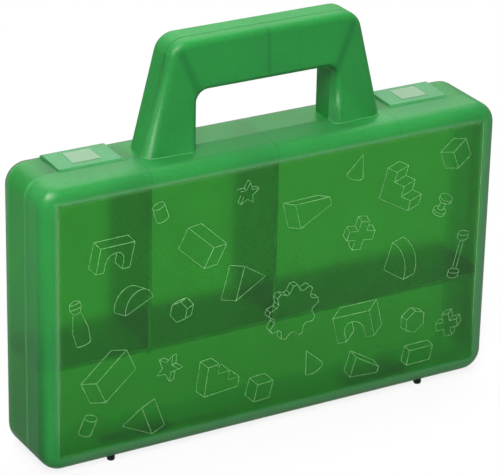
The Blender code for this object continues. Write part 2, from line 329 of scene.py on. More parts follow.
def frostedColour(tree, look):
    # Clouds and specks, then painted shade low on the sides, painted shadows of ribs and creases, painted
    # frame shade, edge glow and border reflection, and the clear back
    colour = cloudyColour(tree, objectNoise(tree, look["cloudScale"], noises["cloudDetail"]), look)
    specks = objectNoise(tree, look["speckScale"], *noises["fine"])
    specks = mapRange(tree, specks, 0, look["speckle"], *look["speckStops"])
    layers = [(specks, shade(look["colour"], look["speckShade"])),
              (sideShade(tree), shade(look["colour"], look["lowShade"]))]
    if look["shadowLines"]:
        layers.append((paintedShadows(tree, look["shadowLines"], look["shadowFade"]), look["shadowColour"]))
    for zone, strength, tint in ((frameShade, look["frameShade"], look["frameShadeColour"]),
                                 (edgeGlow, look["edgeGlow"], look["glowColour"]),
                                 (borderSheen, look["borderSheen"], look["borderSheenColour"])):
        if strength:
            layers.append((product(tree, zone(tree), strength), tint))
    if look["clearBack"]:
        layers.append((clearBack(tree), clear["colour"]))
    for share, tint in layers:
        colour = layer(tree, share, colour, tint)
    return colour


def makeFrosted(name, look):
    # Moulded plastic with a fine spark-eroded grain
    material, tree, shader = startMaterial(name)
    grain = objectNoise(tree, 1 / look["grain"], *noises["fine"])
    rough = mapRange(tree, grain, *look["roughness"])
    if look["dullStrip"]:
        rough = product(tree, rough, mapRange(tree, dullStrip(tree), 1, look["dullStrip"]))
    shader.inputs["Transmission Weight"].default_value = look["transmission"]
    if look["clearBack"]:
        back = clearBack(tree)
        rough = product(tree, rough, mapRange(tree, back, 1, look["backRoughness"]))
        level = mapRange(tree, back, look["transmission"], clear["transmission"])
        tree.links.new(level, shader.inputs["Transmission Weight"])
    tree.links.new(frostedColour(tree, look), shader.inputs["Base Color"])
    tree.links.new(rough, shader.inputs["Roughness"])
    tree.links.new(bump(tree, grain, look["grainDepth"], look["grainStrength"]), shader.inputs["Normal"])
    shader.inputs["IOR"].default_value = look["ior"]
    return material


clear = {
    "colour": (0.115, 0.475, 0.10),
    "cloudScale": 40.0,
    "variation": 0.04,
    "roughness": (0.05, 0.09),
    "transmission": 1.0,
    "ior": 1.27,
    "reflection": (0.7, 1.0, 1.0),
    "haze": 0.0,
    "hazeColour": (0.16, 0.50, 0.17),
}


def makeClear(name, look):
    # Polished see-through plastic with the faint clouds of its moulding flow
    material, tree, shader = startMaterial(name)
    cloud = objectNoise(tree, look["cloudScale"], noises["cloudDetail"])
    colour = cloudyColour(tree, cloud, look)
    shader.inputs["Transmission Weight"].default_value = look["transmission"]
    if look["haze"]:
        haze = product(tree, windowHaze(tree), look["haze"])
        colour = layer(tree, haze, colour, look["hazeColour"])
        level = mapRange(tree, haze, look["transmission"], look["transmission"] / 2)
        tree.links.new(level, shader.inputs["Transmission Weight"])
    tree.links.new(colour, shader.inputs["Base Color"])
    tree.links.new(mapRange(tree, cloud, *look["roughness"]), shader.inputs["Roughness"])
    shader.inputs["IOR"].default_value = look["ior"]
    shader.inputs["Specular Tint"].default_value = (*look["reflection"], 1)
    return material


speckled = {
    "low": (0.06, 0.34, 0.07),
    "high": (0.42, 0.72, 0.38),
    "spots": 0.0012,
    "plain": (0.035, 0.25, 0.06),
    "fadeAcross": (1.0, 2.0),
    "fadeHeight": (0.02, 0.045),
    "roughness": 0.5,
    "specular": 0.3,
}


def makeSpeckled(name, look):
    # The frosted bottom of a fine moulded line, with painted light in spots where it catches the light
    # unevenly
    material, tree, shader = startMaterial(name)
    first, last = noises["spotStops"]
    spots = objectNoise(tree, 1 / look["spots"], *noises["spots"])
    colour = ramp(tree, spots, [(first, look["low"]), (last, look["high"])])
    # Low on the right the line melts into the plain plastic, as painted shade where less light falls on it
    parts = placeParts(tree)
    toTheRight = rising(tree, parts["X"], look["fadeAcross"])
    faded = product(tree, toTheRight, falling(tree, parts["Z"], look["fadeHeight"]))
    tree.links.new(layer(tree, faded, colour, look["plain"]), shader.inputs["Base Color"])
    shader.inputs["Roughness"].default_value = look["roughness"]
    shader.inputs["Specular IOR Level"].default_value = look["specular"]
    return material


steel = {
    "low": (0.38, 0.39, 0.40),
    "high": (0.50, 0.50, 0.51),
    "lineScale": 400.0,
    "stretch": (0.05, 1, 1),
    "roughness": (0.25, 0.40),
}


def makeSteel(name, look):
    # Drawn wire with fine lines along it
    material, tree, shader = startMaterial(name)
    first, last = noises["cloudStops"]
    lines = objectNoise(tree, look["lineScale"], *noises["fine"], look["stretch"])
    colour = ramp(tree, lines, [(first, look["low"]), (last, look["high"])])
    tree.links.new(colour, shader.inputs["Base Color"])
    tree.links.new(mapRange(tree, lines, *look["roughness"]), shader.inputs["Roughness"])
    shader.inputs["Metallic"].default_value = 1.0
    return material


# Lines of painted shadow as (start, end, half width, strength), places as (across, height): ribs behind the
# skin, and on the handle also the crease across each corner
handleShadowLines = (
    ((0.0395, 0.1910), (0.0530, 0.2215), 0.0042, 0.5),
    ((0.0, 0.1920), (0.0, 0.2260), 0.0022, 0.35),
)
lidShadowLines = (
    ((0.0, 0.1535), (0.0, 0.1680), 0.0012, 0.35),
    ((0.075, 0.1535), (0.075, 0.1680), 0.0012, 0.35),
)

handlePlastic = makeFrosted("handlePlastic", {**frosted, "roughness": (0.42, 0.50), "shadowLines": handleShadowLines})
# The shells' skin is painted a darker green and whiter than the handle: painted shade, and a painted sheen
skinShadeAndSheen = {**frosted, "colour": (0.045, 0.355, 0.095)}
lidPlastic = makeFrosted("lidPlastic", {**skinShadeAndSheen, "shadowLines": lidShadowLines, "frameShade": 1.0, "edgeGlow": 0.7,
                                        "borderSheen": 0.7, "dullStrip": 1.6})
trayPlastic = makeFrosted("trayPlastic", {**skinShadeAndSheen, "transmission": 0.7, "clearBack": True})
# The inner walls are painted far lighter than the same plastic outside: painted light inside the case
wall = {**frosted, "transmission": 0.8}
litLidWallPlastic = makeFrosted("litLidWallPlastic", {**wall, "colour": (0.17, 0.88, 0.24), "lowShade": 1.0})
litTrayWallPlastic = makeFrosted("litTrayWallPlastic", {**wall, "colour": (0.09, 0.69, 0.14), "lowShade": 0.9,
                                                  "clearBack": True})
# The hinge bosses are painted lighter: painted light, so they look no darker than the floor around them
litBossPlastic = makeFrosted("litBossPlastic", {**frosted, "colour": (0.10, 0.50, 0.15), "transmission": 0.5})
windowPlastic = makeClear("windowPlastic", {**clear, "roughness": (0.22, 0.28), "transmission": 0.95,
                                            "ior": 1.33, "reflection": (0.9, 1.0, 1.0), "haze": 0.6})
clearPlastic = makeClear("clearPlastic", clear)
dividerPlastic = makeClear("dividerPlastic", {**clear, "colour": (0.035, 0.48, 0.11)})
# The long divider is a darker copy of the short ones' plastic: painted shade on its top, which more light
# reaches
shadedShelfPlastic = makeClear("shadedShelfPlastic", {**clear, "colour": (0.032, 0.41, 0.10)})
latchPlastic = makeFrosted("latchPlastic", {**frosted, "colour": (0.115, 0.44, 0.185)})
plaquePlastic = makeFrosted("plaquePlastic", {**frosted, "colour": (0.23, 0.39, 0.24), "transmission": 0.1})
# The feet are painted near black: painted shade, for the shadow under the case
shadedFootPlastic = makeFrosted("shadedFootPlastic", {**frosted, "colour": (0.004, 0.016, 0.008), "transmission": 0.0})
linePlastic = makeSpeckled("linePlastic", speckled)
borderPlastic = makeSpeckled("borderPlastic", {**speckled, "high": (0.33, 0.62, 0.31),
                                               "fadeAcross": (-0.136, -0.120)})
# Beads and the edges of latches and dividers are less see-through and painted lighter: painted highlights
# along them
edge = {**frosted, "transmission": 0.2}
litBeadPlastic = makeFrosted("litBeadPlastic", {**edge, "colour": (0.11, 0.50, 0.17)})
litLatchEdgePlastic = makeFrosted("litLatchEdgePlastic", {**edge, "colour": (0.11, 0.48, 0.18),
                                                    "transmission": 0.3})
litDividerEdgePlastic = makeFrosted("litDividerEdgePlastic", {**edge, "colour": (0.19, 0.60, 0.24)})
pinSteel = makeSteel("pinSteel", steel)
report("materials")


def skinDepth(point):
    # How deep a point of a body wall lies under the case's outer skin, or 0 on the handle
    x, y, z = point
    if z > case["top"] + case["handleRoot"]:
        return 0
    edge = case["edgeRadius"]
    inset = outlineInset(x, z)[0]
    depth = min(y - case["front"], case["back"] - y)
    return edge - math.hypot(max(edge - inset, 0), max(edge - depth, 0))


def outlineInset(x, z):
    # Distance of a point inside the case's rounded outline, and the outward direction there
    radius = case["cornerRadius"]
    acrossX = abs(x) - case["halfWidth"] + radius
    acrossZ = abs(z - case["middle"]) - case["halfHeight"] + radius
    signX = math.copysign(1, x)
    signZ = math.copysign(1, z - case["middle"])
    if acrossX > 0 and acrossZ > 0:
        away = math.hypot(acrossX, acrossZ)
        return radius - away, (signX * acrossX / away, signZ * acrossZ / away)
    if acrossX > acrossZ:
        return radius - acrossX, (signX, 0)
    return radius - acrossZ, (0, signZ)


def skinNormal(point):
    # The true direction of the case's rounded outer skin
    x, y, z = point
    edge = case["edgeRadius"]
    inset, outward = outlineInset(x, z)
    nearFront = y < case["partingPlane"]
    depth = y - case["front"] if nearFront else case["back"] - y
    side = max(edge - inset, 0)
    face = max(edge - depth, 0)
    size = math.hypot(side, face)
    if not size:
        return None
    along = (-face if nearFront else face) / size
    return Vector((outward[0] * side / size, along, outward[1] * side / size))


# How the moulded pieces are welded and smoothed, with angles in degrees
smoothing = {
    "weld": 1e-6,
    "sharpAngle": 35,
    "bevelAngle": 50,
    "bevelSegments": 2,
    "weight": 100,
}


def mergedCopy(name, node):
    mesh = nodes[node].data.copy()
    mesh.name = name
    bm = bmesh.new()
    bm.from_mesh(mesh)
    bmesh.ops.remove_doubles(bm, verts=bm.verts, dist=smoothing["weld"])
    bm.to_mesh(mesh)
    bm.free()
    mesh.shade_smooth()
    mesh.set_sharp_from_angle(angle=math.radians(smoothing["sharpAngle"]))
    piece = bpy.data.objects.new(name, mesh)
    bpy.context.scene.collection.objects.link(piece)
    return piece


def bakeModifiers(piece):
    graph = bpy.context.evaluated_depsgraph_get()
    result = bpy.data.meshes.new_from_object(piece.evaluated_get(graph))
    result.name = piece.name
    piece.modifiers.clear()
    piece.data = result


def weightNormals(piece, bevel=0.0):
    if bevel:
        rounding = piece.modifiers.new("Rounded edges", "BEVEL")
        rounding.width = bevel
        rounding.segments = smoothing["bevelSegments"]
        rounding.limit_method = "ANGLE"
        rounding.angle_limit = math.radians(smoothing["bevelAngle"])
    modifier = piece.modifiers.new("Weighted normals", "WEIGHTED_NORMAL")
    modifier.keep_sharp = True
    modifier.weight = smoothing["weight"]
    bakeModifiers(piece)


# Where the shells' feet, hinge bosses, latch pockets and handle are, in metres, and how far a face
# has to look up or along the skin, as cosines
shells = {
    "footAcross": 0.09625,
    "footAlong": (-0.0195, 0.0155),
    "footRadius": 0.0022,
    "hingeAcross": 0.075,
    "bossReach": 0.0206,
    "bossAlong": (-0.0095, 0.0035),
    "bossTop": 0.008,
    "pocketAcross": (0.0810, 0.1177),
    "pocketAlong": (-0.0063, 0.0205),
    "pocketFloor": 0.1575,
    "pocketFacing": -0.5,
    "handleReach": 0.075,
    "slack": 0.0001,
    "skinSlack": 0.00001,
    "skinFacing": 0.9,
}


def isBetween(value, ends):
    return ends[0] < value < ends[1]


def isInside(point):
    # On the inner side of a wall, or further in
    return skinDepth(point) > case["wall"] / 2


def isHandle(point):
    return point.z > case["top"] + shells["slack"] and abs(point.x) < shells["handleReach"]


def isPanel(point):
    across = abs(point.x) < case["panelHalfWidth"]
    nearFront = point.y < case["front"] + case["wall"] + case["panelStep"]
    nearBack = point.y > case["back"] - case["wall"] - case["panelStep"]
    return across and abs(point.z - case["middle"]) < case["panelHalfHeight"] and (nearFront or nearBack)


def isFoot(point):
    # Only the feet have faces this close to their middle lines, below the inner walls
    for along in shells["footAlong"]:
        away = math.hypot(abs(point.x) - shells["footAcross"], point.y - along)
        if away < shells["footRadius"] + shells["slack"] and point.z < case["edgeRadius"]:
            return skinDepth(point) < case["wall"] / 2
    return False


def isBoss(point):
    # The hinge bosses and knuckles inside the bottom wall
    across = abs(abs(point.x) - shells["hingeAcross"]) < shells["bossReach"]
    low = point.z < shells["bossTop"]
    return across and low and isBetween(point.y, shells["bossAlong"]) and isInside(point)


def isPocket(face):
    # The floors and walls under the latches, which show when those are open
    place = face.center
    around = isBetween(abs(place.x), shells["pocketAcross"]) and isBetween(place.y, shells["pocketAlong"])
    return around and place.z > shells["pocketFloor"] and face.normal.z > shells["pocketFacing"]


def trueNormals(shell):
    # Gives the rounded skin its exact normals, which long thin faces would otherwise streak
    mesh = shell.data
    normals = [Vector(corner.vector) for corner in mesh.corner_normals]
    slack = shells["skinSlack"]
    for face in mesh.polygons:
        corners = [mesh.vertices[index].co for index in face.vertices]
        above = max(corner.z for corner in corners) > case["top"] + slack
        if above or max(abs(skinDepth(corner)) for corner in corners) > slack:
            continue
        for loop, corner in zip(face.loop_indices, corners):
            true = skinNormal(corner)
            if true and true.dot(face.normal) > shells["skinFacing"]:
                normals[loop] = true
    mesh.normals_split_custom_set(normals)


skinSlot, insideSlot, windowSlot, footSlot, handleSlot, bossSlot = range(6)


def shellSlot(face):
    # Which of the shell's materials a face gets, single features before the walls
    place = face.center
    if isHandle(place):
        return handleSlot
    if isFoot(place):
        return footSlot
    if isBoss(place):
        return bossSlot
    if isPanel(place):
        return windowSlot
    if isPocket(face) or not isInside(place):
        return skinSlot
    return insideSlot


def giveMaterials(piece, materials):
    piece.data.materials.clear()
    for material in materials:
        piece.data.materials.append(material)


def dressShell(name, node, body, skin, inside, window):
    shell = mergedCopy(name, node)
    giveMaterials(shell, (skin, inside, window, shadedFootPlastic, handlePlastic, litBossPlastic))
    for face in shell.data.polygons:
        face.material_index = shellSlot(face)
    weightNormals(shell)
    trueNormals(shell)
    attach(shell, body)
    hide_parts(node)


dressShell("lidShell", "front_shell", "lid", lidPlastic, litLidWallPlastic, windowPlastic)
dressShell("trayShell", "rear_shell", "tray", trayPlastic, litTrayWallPlastic, clearPlastic)
report("shells")

dividers = {
    "edgeRounding": 0.0002,
    "edgeFacing": -0.25,
    "names": {"longDivider": "long_divider", "shortDividerLeft": "short_divider_left",
              "shortDividerMiddle": "short_divider_middle"},
}

for name, node in dividers["names"].items():
    divider = mergedCopy(name, node)
    giveMaterials(divider, (shadedShelfPlastic if name == "longDivider" else dividerPlastic, litDividerEdgePlastic))
    weightNormals(divider, dividers["edgeRounding"])
    for face in divider.data.polygons:
        face.material_index = 1 if face.normal.y < dividers["edgeFacing"] else 0
    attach(divider, "tray")
    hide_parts(node)

latches = {
    "edgeRounding": 0.0003,
    "plateLift": 0.0009,
    "plateRise": 0.0007,
    "plateFront": -0.0027,
    "plateLength": 0.0195,
    "slack": 0.0001,
    "edgeFacing": 0.8,
}


latchSlot, plaqueSlot, latchEdgeSlot = range(3)


def aboveTheLatch(point):
    # How far a point lies above the latch's sloping top, as the small plate does
    share = (point.y - latches["plateFront"]) / latches["plateLength"]
    return point.z - case["top"] - latches["plateLift"] - latches["plateRise"] * share


for side in ("left", "right"):
    latch = mergedCopy("latch" + side.title(), "latch_" + side)
    giveMaterials(latch, (latchPlastic, plaquePlastic, litLatchEdgePlastic))
    weightNormals(latch, latches["edgeRounding"])
    for face in latch.data.polygons:
        highest = max(latch.data.vertices[index].co.z for index in face.vertices)
        if aboveTheLatch(face.center) > latches["slack"]:
            face.material_index = plaqueSlot
        elif highest > case["top"] and face.normal.z < latches["edgeFacing"]:
            face.material_index = latchEdgeSlot
        else:
            face.material_index = latchSlot
    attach(latch, side + "_latch")
    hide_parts("latch_" + side)
    giveMaterials(nodes["hinge_pin_" + side], (pinSteel,))
report("dividers, latches and pins")

# Outlines of wooden building blocks, as (across, height) points of a unit size
blockShapes = {
    "brick": [(-0.5, -0.28), (0.5, -0.28), (0.5, 0.28), (-0.5, 0.28)],
    "cube": [(-0.4, -0.4), (0.4, -0.4), (0.4, 0.4), (-0.4, 0.4)],
    "roof": [(-0.5, -0.3), (0.5, -0.3), (0.0, 0.35)],
    "wedge": [(-0.5, -0.3), (0.5, -0.3), (0.5, -0.1), (-0.5, 0.35)],
    "steps": [(-0.5, -0.4), (0.5, -0.4), (0.5, -0.13), (0.17, -0.13), (0.17, 0.14), (-0.17, 0.14),
              (-0.17, 0.41), (-0.5, 0.41)],
    "cross": [(-0.16, -0.5), (0.16, -0.5), (0.16, -0.16), (0.5, -0.16), (0.5, 0.16), (0.16, 0.16),
              (0.16, 0.5), (-0.16, 0.5), (-0.16, 0.16), (-0.5, 0.16), (-0.5, -0.16), (-0.16, -0.16)],
}

# Turned shapes, as (radius, height) points from the bottom to the top
turnedShapes = {
    "cylinder": [(0.0, -0.35), (0.28, -0.35), (0.28, 0.35), (0.0, 0.35)],
    "cone": [(0.0, -0.4), (0.36, -0.4), (0.0, 0.5)],
    "skittle": [(0.0, -0.5), (0.15, -0.5), (0.17, -0.2), (0.1, 0.14), (0.08, 0.22), (0.13, 0.34),
                (0.11, 0.44), (0.0, 0.5)],
    "reel": [(0.0, -0.4), (0.34, -0.4), (0.34, -0.27), (0.14, -0.2), (0.14, 0.2), (0.34, 0.27),
             (0.34, 0.4), (0.0, 0.4)],
    "dumbbell": [(0.0, -0.5), (0.12, -0.46), (0.12, -0.36), (0.04, -0.3), (0.04, 0.3), (0.12, 0.36),
                 (0.12, 0.46), (0.0, 0.5)],
}


# How the shapes are built and their lines found: the angle in degrees, spacing and lift in unit size
drafting = {
    "arcSteps": 20,
    "turnedSides": 36,
    "weld": 1e-5,
    "sharpAngle": 28,
    "spacing": 0.03,
    "lift": 0.004,
}


def roundedShape(start, end, radius, centre, steps=drafting["arcSteps"]):
    points = []
    for step in range(steps + 1):
        angle = math.radians(start + (end - start) * step / steps)
        points.append((centre[0] + radius * math.cos(angle), centre[1] + radius * math.sin(angle)))
    return points


def starShape(points, outer, inner):
    shape = []
    for step in range(2 * points):
        radius = inner if step % 2 else outer
        angle = math.radians(90 + 180 * step / points)
        shape.append((radius * math.cos(angle), radius * math.sin(angle)))
    return shape


def gearShape(teeth, outer, inner):
    shape = []
    for step in range(4 * teeth):
        radius = outer if step % 4 in (1, 2) else inner
        angle = math.radians(90 * step / teeth)
        shape.append((radius * math.cos(angle), radius * math.sin(angle)))
    return shape


blockShapes["arch"] = [(-0.5, -0.35), (-0.27, -0.35)] + roundedShape(180, 0, 0.27, (0, -0.12)) + [
    (0.27, -0.35), (0.5, -0.35), (0.5, 0.35), (-0.5, 0.35)]
blockShapes["halfRound"] = roundedShape(0, 180, 0.45, (0, -0.2))
blockShapes["quarterRound"] = roundedShape(0, 90, 0.8, (-0.4, -0.4)) + [(-0.4, -0.4)]
blockShapes["star"] = starShape(5, 0.5, 0.22)
blockShapes["hexagon"] = starShape(3, 0.45, 0.45)
blockShapes["gear"] = gearShape(9, 0.5, 0.39)


def drawnOut(outline, thickness):
    bm = bmesh.new()
    ends = []
    for y in (-thickness / 2, thickness / 2):
        ends.append([bm.verts.new((x, y, z)) for x, z in outline])
    for index in range(len(outline)):
        after = (index + 1) % len(outline)
        bm.faces.new((ends[0][index], ends[0][after], ends[1][after], ends[1][index]))
    bm.faces.new(ends[0])
    bm.faces.new(reversed(ends[1]))
    bmesh.ops.recalc_face_normals(bm, faces=bm.faces)
    return bm


def turned(outline):
    bm = bmesh.new()
    profile = [bm.verts.new((radius, 0, z)) for radius, z in outline]
    edges = [bm.edges.new(pair) for pair in zip(profile, profile[1:])]
    bmesh.ops.spin(bm, geom=profile + edges, cent=(0, 0, 0), axis=(0, 0, 1), angle=math.tau,
                   steps=drafting["turnedSides"], use_merge=True, use_duplicate=False)
    bmesh.ops.remove_doubles(bm, verts=bm.verts, dist=drafting["weld"])
    bmesh.ops.recalc_face_normals(bm, faces=bm.faces)
    return bm


def seenLines(bm):
    # The edges of a solid that a draughtsman would draw, looking along +Y, without the hidden parts
    toward = Vector((0, -1, 0))
    surface = BVHTree.FromBMesh(bm)
    lines = []
    for edge in bm.edges:
        if len(edge.link_faces) != 2:
            continue
        first, second = (face.normal.dot(toward) for face in edge.link_faces)
        if edge.calc_face_angle() < math.radians(drafting["sharpAngle"]) and first * second > 0:
            continue
        if max(first, second) <= 0:
            continue
        start, end = (vertex.co for vertex in edge.verts)
        count = max(2, math.ceil(edge.calc_length() / drafting["spacing"]))
        seen = []
        for step in range(count + 1):
            point = start.lerp(end, step / count)
            seen.append(surface.ray_cast(point + toward * drafting["lift"], toward)[0] is None)
        begun = None
        for step in range(count + 1):
            if seen[step] and begun is None:
                begun = step
            if begun is not None and (step == count or not seen[step + 1]):
                if step > begun:
                    lines.append((start.lerp(end, begun / count), start.lerp(end, step / count)))
                begun = None
    return lines


def ribbonTree():
    # Sweeps a flat bar along the edges of a mesh in its own XY plane
    tree = bpy.data.node_groups.new("ribbons", "GeometryNodeTree")
    tree.interface.new_socket("Geometry", in_out="INPUT", socket_type="NodeSocketGeometry")
    sockets = {}
    for label, kind in (("Line width", "Float"), ("Line height", "Float"), ("Finish", "Material")):
        socket = tree.interface.new_socket(label, in_out="INPUT", socket_type="NodeSocket" + kind)
        sockets[label] = socket.identifier
    tree.interface.new_socket("Geometry", in_out="OUTPUT", socket_type="NodeSocketGeometry")
    entry = tree.nodes.new("NodeGroupInput")
    path = tree.nodes.new("GeometryNodeMeshToCurve")
    bar = tree.nodes.new("GeometryNodeCurvePrimitiveQuadrilateral")
    sweep = tree.nodes.new("GeometryNodeCurveToMesh")
    sweep.inputs["Fill Caps"].default_value = True
    real = tree.nodes.new("GeometryNodeRealizeInstances")
    finish = tree.nodes.new("GeometryNodeSetMaterial")
    leave = tree.nodes.new("NodeGroupOutput")
    links = tree.links
    links.new(entry.outputs["Geometry"], path.inputs["Mesh"])
    links.new(entry.outputs["Line width"], bar.inputs["Width"])
    links.new(entry.outputs["Line height"], bar.inputs["Height"])
    links.new(path.outputs["Curve"], sweep.inputs["Curve"])
    links.new(bar.outputs["Curve"], sweep.inputs["Profile Curve"])
    links.new(sweep.outputs["Mesh"], real.inputs["Geometry"])
    links.new(real.outputs["Geometry"], finish.inputs["Geometry"])
    links.new(entry.outputs["Finish"], finish.inputs["Material"])
    links.new(finish.outputs["Geometry"], leave.inputs["Geometry"])
    return tree, sockets


ribbons, ribbonSockets = ribbonTree()


def sweepRibbons(name, lines, width, height, finish, place):
    # Lines are pairs of (across, height) points; place turns their plane into the object's
    bm = bmesh.new()
    for start, end in lines:
        bm.edges.new([bm.verts.new((point[0], point[1], 0)) for point in (start, end)])
    bmesh.ops.remove_doubles(bm, verts=bm.verts, dist=drafting["weld"])
    mesh = bpy.data.meshes.new(name)
    bm.to_mesh(mesh)
    bm.free()
    piece = bpy.data.objects.new(name, mesh)
    bpy.context.scene.collection.objects.link(piece)
    modifier = piece.modifiers.new("Ribbons", "NODES")
    modifier.node_group = ribbons
    for label, value in (("Line width", width), ("Line height", height), ("Finish", finish)):
        modifier[ribbonSockets[label]] = value
    bakeModifiers(piece)
    piece.data.transform(place)
    return piece


def upright(along):
    # Stands a flat picture up in the panel's plane
    return Matrix.Translation((0, along, 0)) @ Matrix.Rotation(math.radians(90), 4, "X")


drawings = {
    "lineWidth": 0.0003,
    "lineHeight": 0.00016,
    "plane": -0.02412,
    # shape, across, height, size, thickness, then turns in degrees: about X, Z and in the picture
    "motifs": (
        ("gear", 0.010, 0.066, 0.033, 0.22, 18, 24, 8),
        ("arch", -0.098, 0.121, 0.022, 0.45, 24, 30, 12),
        ("cylinder", -0.070, 0.139, 0.013, 1, 30, 0, -18),
        ("brick", -0.045, 0.115, 0.024, 0.5, 26, -32, 28),
        ("star", -0.019, 0.140, 0.014, 0.3, 20, 26, 10),
        ("wedge", 0.018, 0.126, 0.025, 0.5, 24, 34, -14),
        ("cone", 0.049, 0.142, 0.015, 1, 24, 0, 22),
        ("steps", 0.078, 0.125, 0.024, 0.5, 26, -30, 16),
        ("cube", 0.111, 0.138, 0.015, 0.8, 28, 38, -20),
        ("reel", 0.104, 0.109, 0.013, 1, 28, 0, 30),
        ("skittle", -0.117, 0.087, 0.027, 1, 16, 0, -12),
        ("halfRound", -0.086, 0.094, 0.022, 0.5, 28, 32, -10),
        ("hexagon", -0.057, 0.081, 0.014, 0.5, 24, -28, 12),
        ("roof", -0.022, 0.092, 0.024, 0.6, 24, 34, -16),
        ("cross", 0.051, 0.103, 0.018, 0.4, 24, 28, 20),
        ("quarterRound", 0.080, 0.082, 0.022, 0.5, 26, -32, 18),
        ("dumbbell", 0.116, 0.077, 0.030, 1, 24, 0, 14),
        ("brick", -0.100, 0.052, 0.027, 0.5, 28, 34, -24),
        ("star", -0.064, 0.049, 0.016, 0.3, 22, -24, 24),
        ("steps", -0.034, 0.038, 0.023, 0.5, 24, 30, 8),
        ("cylinder", -0.112, 0.026, 0.014, 1, 28, 0, 24),
        ("roof", -0.078, 0.024, 0.022, 0.6, 26, -30, 12),
        ("cube", -0.009, 0.024, 0.014, 0.8, 26, 36, 14),
        ("arch", 0.052, 0.050, 0.026, 0.45, 26, -30, -14),
        ("cone", 0.023, 0.033, 0.016, 1, 26, 0, -24),
        ("wedge", 0.057, 0.024, 0.020, 0.5, 24, 32, 18),
        ("hexagon", 0.088, 0.043, 0.016, 0.5, 24, 26, 0),
        ("cross", 0.112, 0.036, 0.015, 0.4, 22, -26, -12),
        ("brick", 0.092, 0.022, 0.017, 0.5, 24, 30, 12),
    ),
}


def motifLines(shape, across, height, size, thickness, tilt, turn, roll):
    bm = turned(turnedShapes[shape]) if shape in turnedShapes else drawnOut(blockShapes[shape], thickness)
    turns = Matrix.Rotation(math.radians(roll), 4, "Y") @ Matrix.Rotation(math.radians(tilt), 4, "X")
    turns = turns @ Matrix.Rotation(math.radians(turn), 4, "Z")
    bm.transform(turns)
    bm.normal_update()
    lines = seenLines(bm)
    bm.free()
    placed = []
    for start, end in lines:
        placed.append([(across + size * point.x, height + size * point.z) for point in (start, end)])
    return placed


def makeDrawings():
    lines = []
    for motif in drawings["motifs"]:
        lines += motifLines(*motif)
    piece = sweepRibbons("blockDrawings", lines, drawings["lineWidth"], drawings["lineHeight"],
                         linePlastic, upright(drawings["plane"]))
    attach(piece, "lid")


panelLine = {
    "width": 0.0004,
    "height": 0.0003,
    "corner": 0.0008,
    "inset": 0.0090,
    "plane": -0.02415,
    "steps": 8,
}


def roundedLoop(halfWidth, low, high, radius, steps):
    corners = ((halfWidth - radius, low + radius, -90), (halfWidth - radius, high - radius, 0),
               (radius - halfWidth, high - radius, 90), (radius - halfWidth, low + radius, 180))
    points = []
    for x, z, start in corners:
        points += roundedShape(start, start + 90, radius, (x, z), steps)
    return points


def makePanelLine():
    inset = panelLine["inset"]
    loop = roundedLoop(case["halfWidth"] - inset, case["bottom"] + inset, case["top"] - inset,
                       panelLine["corner"], panelLine["steps"])
    lines = list(zip(loop, loop[1:] + loop[:1]))
    piece = sweepRibbons("panelLine", lines, panelLine["width"], panelLine["height"],
                         borderPlastic, upright(panelLine["plane"]))
    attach(piece, "lid")


beads = {
    "width": 0.0004,
    "height": 0.0006,
    "latchAcross": (0.0812, 0.1160),
    "latchFront": -0.0036,
    "latchEnd": ((0.0800, -0.0038), (0.0792, -0.0044), (0.0788, -0.0052)),
    "handleFoot": ((0.0710, -0.0036), (0.0710, -0.0064), (0.0702, -0.0084), (0.0688, -0.0097),
                   (0.0664, -0.0106), (0.0450, -0.0119), (0.0432, -0.0114), (0.0421, -0.0102),
                   (0.0418, -0.0086), (0.0418, -0.0036)),
}


def mirroredLines(points):
    lines = []
    for side in (-1, 1):
        flipped = [(side * across, along) for across, along in points]
        lines += list(zip(flipped, flipped[1:]))
    return lines


def makeBeads():
    # Fine raised lines on the lid's top: in front of each latch and round the feet of the handle
    near, far = beads["latchAcross"]
    front = beads["latchFront"]
    lines = mirroredLines(beads["handleFoot"])
    lines += mirroredLines(((far, front), (near, front)) + beads["latchEnd"])
    place = Matrix.Translation((0, 0, case["top"] + beads["height"] / 4))
    piece = sweepRibbons("topBeads", lines, beads["width"], beads["height"], litBeadPlastic, place)
    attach(piece, "lid")


makeDrawings()
makePanelLine()
makeBeads()
report("drawings, panel line and beads")

photo = {
    "position": (-0.69376, -1.1854, 0.71575),
    "yaw": -30.24,
    "pitch": 24.11,
    "roll": 1.28,
    "lens": 202.4,
    "clipStart": 0.05,
}


def makeCamera(view):
    yaw, pitch, roll = (math.radians(view[key]) for key in ("yaw", "pitch", "roll"))
    forward = Vector((math.sin(-yaw) * math.cos(pitch), math.cos(-yaw) * math.cos(pitch), -math.sin(pitch)))
    right = forward.cross(Vector((0, 0, 1))).normalized()
    up = right.cross(forward)
    turnedRight = right * math.cos(roll) + up * math.sin(roll)
    turnedUp = up * math.cos(roll) - right * math.sin(roll)
    axes = Matrix((turnedRight, turnedUp, -forward)).transposed()
    camera = bpy.data.objects.new("camera", bpy.data.cameras.new("camera"))
    camera.data.lens = view["lens"]
    camera.data.clip_start = view["clipStart"]
    camera.matrix_world = Matrix.Translation(view["position"]) @ axes.to_4x4()
    bpy.context.scene.collection.objects.link(camera)
    bpy.context.scene.camera = camera


